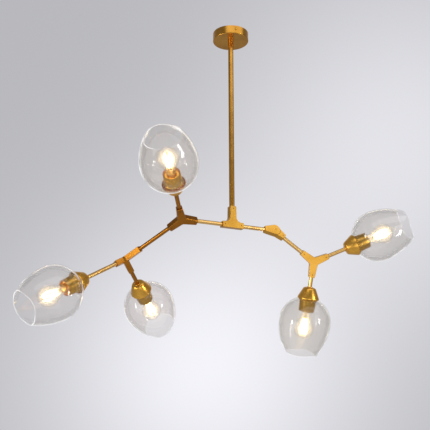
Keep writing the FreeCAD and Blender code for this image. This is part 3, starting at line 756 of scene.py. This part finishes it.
bulb = {
    "radius": 0.030,
    "tip": 0.156,
    "wall": 0.0009,
    "neck": 0.013,
    "collar": 0.076,
    "neckLength": 0.006,
    "crown": 87,        # degrees up to the last ring, which is drawn together to the tip
    "ballSteps": 22,
    "smooth": 180,
    "steps": 64,
}


def makeBulbGlass():
    centre = bulb["tip"] - bulb["radius"]
    neckTop = bulb["collar"] + bulb["neckLength"]
    down = centre - neckTop
    away = math.hypot(bulb["neck"], down)
    touch = -math.atan2(down, bulb["neck"]) + math.acos(bulb["radius"] / away)
    rings = [(bulb["neck"], bulb["collar"]), (bulb["neck"], neckTop)]
    rings += arc((0, centre), bulb["radius"], touch, math.radians(bulb["crown"]), bulb["ballSteps"])
    piece = turnPiece("bulbPattern", rings, bulb["steps"])
    closeTop(piece)
    applyModifier(piece, "SOLIDIFY", thickness=bulb["wall"], offset=-1)
    smooth(piece, bulb["smooth"])
    return piece


base = {
    "radius": 0.0132,
    "root": 0.0121,
    "bottom": 0.048,
    "contact": 0.0045,
    "contactHeight": 0.003,
    "collar": 0.076,
    "edge": 0.001,
    "sink": 0.0002,     # gap below the bulb's collar
    "turns": 6,
    "threadStart": 0.0015,
    "threadEnd": 0.004,
    "crestStart": 0.35,  # shares of one turn
    "crestEnd": 0.6,
    "smooth": 50,
    "steps": 48,
}


def makeBulbBase():
    radius, edge = base["radius"], base["edge"]
    start = base["bottom"] + base["contactHeight"]
    rings = [
        (base["contact"], base["bottom"]),
        (base["contact"] + edge, start),
        (base["root"], start + edge),
    ]
    pitch = (base["collar"] - base["threadEnd"] - start) / base["turns"]
    for thread in range(base["turns"]):
        low = start + base["threadStart"] + thread * pitch
        rings.append((base["root"], low))
        rings.append((radius, low + pitch * base["crestStart"]))
        rings.append((radius, low + pitch * base["crestEnd"]))
    rings.append((radius, base["collar"] - edge))
    rings.append((radius - edge, base["collar"] - base["sink"]))
    piece = turnPiece("basePattern", rings, base["steps"])
    closeEnds()
    smooth(piece, base["smooth"])
    return piece


wires = {
    "wire": 0.0005,
    "wireSides": 8,
    "stick": 0.0010,    # radius of a glowing filament
    "stickSides": 12,
    "rounding": 0.5,    # share of a rod's radius that its ends are rounded by
    "roundingSteps": 2,
    "lowRing": 0.0060,  # the sticks lean out from the low ring to the high one, then in to the top one
    "highRing": 0.0125,
    "topRing": 0.0065,
    "low": 0.0955,
    "high": 0.127,
    "top": 0.143,
    "rise": 0.003,
    "count": 8,
    "smooth": 50,
}


def rodBetween(name, first, second, radius, sides):
    # A round rod from one point to another, with rounded ends.
    first, second = Vector(first), Vector(second)
    span = second - first
    bpy.ops.object.select_all(action="DESELECT")
    bpy.ops.mesh.primitive_cylinder_add(
        vertices=sides, radius=radius, depth=span.length, location=(0, 0, 0),
    )
    piece = bpy.context.object
    bpy.ops.object.mode_set(mode="EDIT")
    bpy.ops.mesh.select_mode(type="EDGE")
    bpy.ops.mesh.select_all(action="DESELECT")
    bpy.ops.object.mode_set(mode="OBJECT")
    for edge in piece.data.edges:
        low, high = [piece.data.vertices[index].co.z for index in edge.vertices]
        edge.select = abs(low - high) < sameHeight
    bpy.ops.object.mode_set(mode="EDIT")
    bpy.ops.mesh.bevel(offset=radius * wires["rounding"], segments=wires["roundingSteps"])
    bpy.ops.object.mode_set(mode="OBJECT")
    turn = span.to_track_quat("Z", "Y").to_matrix().to_4x4()
    piece.matrix_world = Matrix.Translation((first + second) / 2) @ turn
    bpy.ops.object.transform_apply(location=True, rotation=True, scale=True)
    piece.name = name
    return piece


def joinPieces(pieces, name):
    bpy.ops.object.select_all(action="DESELECT")
    for piece in pieces:
        piece.select_set(True)
    bpy.context.view_layer.objects.active = pieces[0]
    bpy.ops.object.join()
    joined = bpy.context.object
    joined.name = name
    smooth(joined, wires["smooth"])
    return joined


def spoke(number, out, height):
    bearing = 2 * math.pi * number / wires["count"]
    return (out * math.cos(bearing), out * math.sin(bearing), height)


def makeFilaments():
    sticks = []
    for number in range(wires["count"]):
        first = spoke(number, wires["lowRing"], wires["low"])
        second = spoke(number, wires["highRing"], wires["high"])
        third = spoke(number, wires["topRing"], wires["top"])
        sticks.append(rodBetween(f"stick{number}", first, second, wires["stick"], wires["stickSides"]))
        sticks.append(rodBetween(f"bend{number}", second, third, wires["stick"], wires["stickSides"]))
    return joinPieces(sticks, "filamentPattern")


mount = {
    "foot": 0.0045,
    "footHeight": 0.003,
    "neck": 0.0030,
    "bulge": 1.3,       # shares of the neck
    "tip": 0.6,
    "neckDrop": 0.003,
    "bulgeDrop": 0.001,
    "height": 0.016,
    "sink": 0.0002,
    "smooth": 50,
    "steps": 32,
}


def makeMount():
    top = base["collar"] + mount["height"]
    rings = [
        (mount["foot"], base["collar"] - mount["sink"]),
        (mount["foot"], base["collar"] + mount["footHeight"]),
        (mount["neck"], top - mount["neckDrop"]),
        (mount["neck"] * mount["bulge"], top - mount["bulgeDrop"]),
        (mount["neck"] * mount["tip"], top),
    ]
    piece = turnPiece("mountPattern", rings, mount["steps"])
    closeEnds()
    smooth(piece, mount["smooth"])
    return piece


def makeSupports():
    root = (0, 0, base["collar"] + mount["height"] - wires["rise"])
    crown = (0, 0, wires["top"] + wires["rise"])
    rods = [rodBetween("post", root, crown, wires["wire"], wires["wireSides"])]
    for number in range(wires["count"]):
        foot = spoke(number, wires["lowRing"], wires["low"])
        tip = spoke(number, wires["topRing"], wires["top"])
        rods.append(rodBetween(f"foot{number}", root, foot, wires["wire"], wires["wireSides"]))
        rods.append(rodBetween(f"crown{number}", crown, tip, wires["wire"], wires["wireSides"]))
    return joinPieces(rods, "supportPattern")


insert = {
    "outer": 0.0191,
    "bore": 0.014,
    "channel": 0.0035,
    "top": 0.0123,
    "end": 0.066,
    "lipLine": (        # radius and depth below the end, from the outside in
        (0.0191, 0.001), (0.0181, 0), (0.0172, 0), (0.0168, 0.0012),
        (0.0158, 0.0012), (0.0154, 0), (0.0144, 0),
    ),
    "floor": 0.0477,
    "ridges": 4,
    "ridgeStart": 0.001,
    "ridgeDepth": 0.0008,
    "ridgeShare": 0.4,
    "smooth": 35,
    "steps": 64,
}


def makeInsert():
    bore, channel = insert["bore"], insert["channel"]
    rings = [(channel, insert["top"]), (insert["outer"], insert["top"])]
    rings += [(radius, insert["end"] - depth) for radius, depth in insert["lipLine"]]
    pitch = (insert["end"] - insert["floor"]) / (insert["ridges"] + 1)
    for ridge in range(insert["ridges"]):
        high = insert["end"] - insert["ridgeStart"] - ridge * pitch
        rings.append((bore, high))
        rings.append((bore + insert["ridgeDepth"], high - pitch * insert["ridgeShare"]))
    rings += [(bore, insert["floor"]), (channel, insert["floor"])]
    piece = turnPiece("insertPattern", rings, insert["steps"])
    closeProfile()
    smooth(piece, insert["smooth"])
    return piece


def dressLamps():
    patterns = {  # name: piece, finish, record slot, CAD pieces that it stands in for
        # The cap and sleeve brass, also on the bulb's shell and supports, are lighter copies as painted
        # light.
        "Cap": (makeCap(), brass["capBrassPaintedLight"], "satin_brass", ("cap",)),
        "Sleeve": (makeSleeve(), brass["sleeveBrassPaintedLight"], "satin_brass", ("sleeve",)),
        "Insert": (makeInsert(), plastic["insertGold"], "gold_plastic", ("socket",)),
        "BulbGlass": (makeBulbGlass(), bulbGlass, "bulb_glass", ("bulb_glass",)),
        "BulbShell": (makeBulbBase(), brass["sleeveBrassPaintedLight"], "bulb_base", ("bulb_base",)),
        "Filaments": (makeFilaments(), filamentGlow, "bulb_base", ()),
        "Supports": (makeSupports(), brass["sleeveBrassPaintedLight"], "bulb_base", ()),
        "Mount": (makeMount(), bulbGlass, "bulb_glass", ()),
    }
    for pattern, finish, slot, replaced in patterns.values():
        pattern.data.materials.append(finish)
    for number in lampBodies:
        for name, (pattern, finish, slot, replaced) in patterns.items():
            fitToLamp(pattern, number, name, replaced)
        pattern = makeShade(number)
        fitToLamp(pattern, number, "Shade", ("shade",))
        discard(pattern)
        print(f"lamp {number} dressed")
    for pattern, finish, slot, replaced in patterns.values():
        discard(pattern)


dressLamps()

# CAD nodes that stay get their finish by their name, or else by a word in it, or else plain brass.
finishByName = {
    # The darker brass copies here are painted shade.
    "left_y_hub": brass["deepBrassPaintedShade"],
    "branch_tube": brass["deepBrassPaintedShade"],
    "lamp_1_tube": brass["deepBrassPaintedShade"],
    "lamp_3_tube": brass["deepBrassPaintedShade"],
    "three_way_hub": brass["brownBrassPaintedShade"],
    "canopy": brass["brassPaintedShade"],
    "stem": brass["brassPaintedShade"],
    "ceiling_bracket": steel["zincSteel"],
    "stem_nut": steel["zincSteel"],
    "terminal_block": plastic["whitePlastic"],
    "knuckle_washer": plastic["whitePlastic"],
}
finishByWord = {
    "grub_screw": steel["darkSteel"],
    # The paler tube brass is partly a painted highlight.
    "_tube": brass["tubeBrassPaintedHighlight"],
}


def finishFor(name):
    if name in finishByName:
        return finishByName[name]
    for word, finish in finishByWord.items():
        if word in name:
            return finish
    return brass["satinBrass"]


def dressNodes():
    for name, item in nodes.items():
        item.data.materials.clear()
        item.data.materials.append(finishFor(name))
    print("CAD nodes dressed")


dressNodes()

camera = {  # found from the photograph
    "place": (-0.9328, -1.7353, -1.1137),
    "right": (0.8958, -0.4444, 0.0010),
    "forward": (0.4282, 0.8639, 0.2652),
    "sensor": 36,       # millimetres, as the lens
    "lens": 58.64,
    "shift": (0.0125, -0.0106),
}


def makeCamera():
    data = bpy.data.cameras.new("camera")
    item = bpy.data.objects.new("camera", data)
    bpy.context.scene.collection.objects.link(item)
    forward = Vector(camera["forward"]).normalized()
    right = Vector(camera["right"])
    right = (right - forward * right.dot(forward)).normalized()
    up = right.cross(forward)
    rows = Matrix((right, up, -forward)).transposed().to_4x4()
    item.matrix_world = Matrix.Translation(camera["place"]) @ rows
    data.sensor_width = camera["sensor"]
    data.lens = camera["lens"]
    data.shift_x, data.shift_y = camera["shift"]
    bpy.context.scene.camera = item


floorLook = {
    "height": -3.5,
    "size": 50,
    "cuts": 8,
    "colour": (0.74, 0.74, 0.75),
    "shade": 0.98,
    "deepEnd": 0.3,
    "lightStart": 0.7,
    "patch": 3,         # faint patches per metre
    "detail": 2,
    "roughness": 0.9,
}


def makeFloor():
    bpy.ops.object.select_all(action="DESELECT")
    bpy.ops.mesh.primitive_plane_add(size=floorLook["size"], location=(0, 0, 0))
    floor = bpy.context.object
    floor.name = "floor"
    bpy.ops.object.mode_set(mode="EDIT")
    bpy.ops.mesh.subdivide(number_cuts=floorLook["cuts"])
    bpy.ops.object.mode_set(mode="OBJECT")
    floor.location = (0, 0, floorLook["height"])
    bpy.ops.object.transform_apply(location=True, rotation=True, scale=True)
    finish = newFinish("paleFloor")
    place = finish.add("TexCoord", output="Object")
    patches = noise(place, floorLook["patch"], floorLook["detail"])
    deep = darker(floorLook["colour"], floorLook["shade"])
    tone = twoTone(patches, deep, floorLook["colour"], floorLook)
    surface = finish.add("BsdfPrincipled", {}, {"Base Color": tone, "Roughness": floorLook["roughness"]})
    floor.data.materials.append(finish.show(surface))


sky = {
    "base": 0.487,      # brightness of the backdrop behind the chandelier
    "tint": (0.985, 0.985, 1.04),
    "pools": [          # direction, width in radians, brightness
        ((0.4361, 0.8988, 0.0441), 0.156, 0.417),
        ((0.6365, 0.6884, 0.3477), 0.171, 0.283),
    ],
    "throughGlass": 0.45,  # share of the pools that shows through the glass
    "inside": 0.91,     # cosines between which the backdrop fades into the dimmer studio
    "outside": 0.5,
    "studio": 0.27,
    "light": (0.50, 0.50, 0.52, 1),
}


def poolGlow(aim, direction, width, level):
    exponent = (dotProduct(aim, direction) - 1) * (1 / width ** 2)
    return aim.finish.add("Math", {"operation": "EXPONENT"}, {0: exponent}) * level


def makeSky():
    # The camera, metal and glass see the backdrop. All else is lit by a plain even light.
    world = bpy.data.worlds.new("sky")
    bpy.context.scene.world = world
    finish = Finish(world)
    aim = finish.add("TexCoord", output="Generated")
    rays = finish.add("LightPath", output="Is Camera Ray")
    through = rays.sibling("Is Transmission Ray")
    seen = rays + rays.sibling("Is Glossy Ray") + through
    pools = sum(poolGlow(aim, *pool) for pool in sky["pools"])
    pools = pools * (1 - through * (1 - sky["throughGlass"]))
    fade = softStep(dotProduct(aim, camera["forward"]), sky["outside"], sky["inside"])
    brightness = sky["studio"] + (sky["base"] - sky["studio"] + pools) * fade
    red, green, blue = [brightness * part for part in sky["tint"]]
    backdrop = finish.add("CombineColor", {}, {"Red": red, "Green": green, "Blue": blue})
    colour = finish.add("Mix", {"data_type": "RGBA"}, {
        "Factor": seen, "A": sky["light"], "B": backdrop,
    }, output="Result")
    finish.show(finish.add("Background", {}, {"Color": colour}), "OutputWorld")


softboxAim = (0, 0, -0.6)
softboxes = {  # place, width, height, power in watts
    "keySoftbox": ((-0.55, -2.35, -1.57), 1.6, 1.3, 7.2),
    "topSoftbox": ((-0.05, -1.80, 1.27), 4.6, 1.3, 22),
    "rightSoftbox": ((1.30, -2.25, -0.51), 0.9, 1.4, 4.8),
    "leftSoftbox": ((-2.35, -0.67, -1.49), 1.7, 1.2, 9.6),
    "rightSpot": ((1.59, -2.03, -0.92), 0.4, 0.7, 11),
    "leftSpot": ((-2.58, 0.05, -0.92), 0.4, 0.7, 11),
}


def makeLights():
    for name, (place, width, height, power) in softboxes.items():
        data = bpy.data.lights.new(name, "AREA")
        data.shape = "RECTANGLE"
        data.size, data.size_y = width, height
        data.energy = power
        item = bpy.data.objects.new(name, data)
        bpy.context.scene.collection.objects.link(item)
        item.visible_camera = False
        item.visible_transmission = False
        item.location = place
        aim = Vector(softboxAim) - Vector(place)
        item.rotation_mode = "QUATERNION"
        item.rotation_quaternion = aim.to_track_quat("-Z", "Y")


makeCamera()
makeFloor()
makeSky()
makeLights()
bpy.context.scene.view_settings.view_transform = "Standard"
print("camera, floor and lights ready")
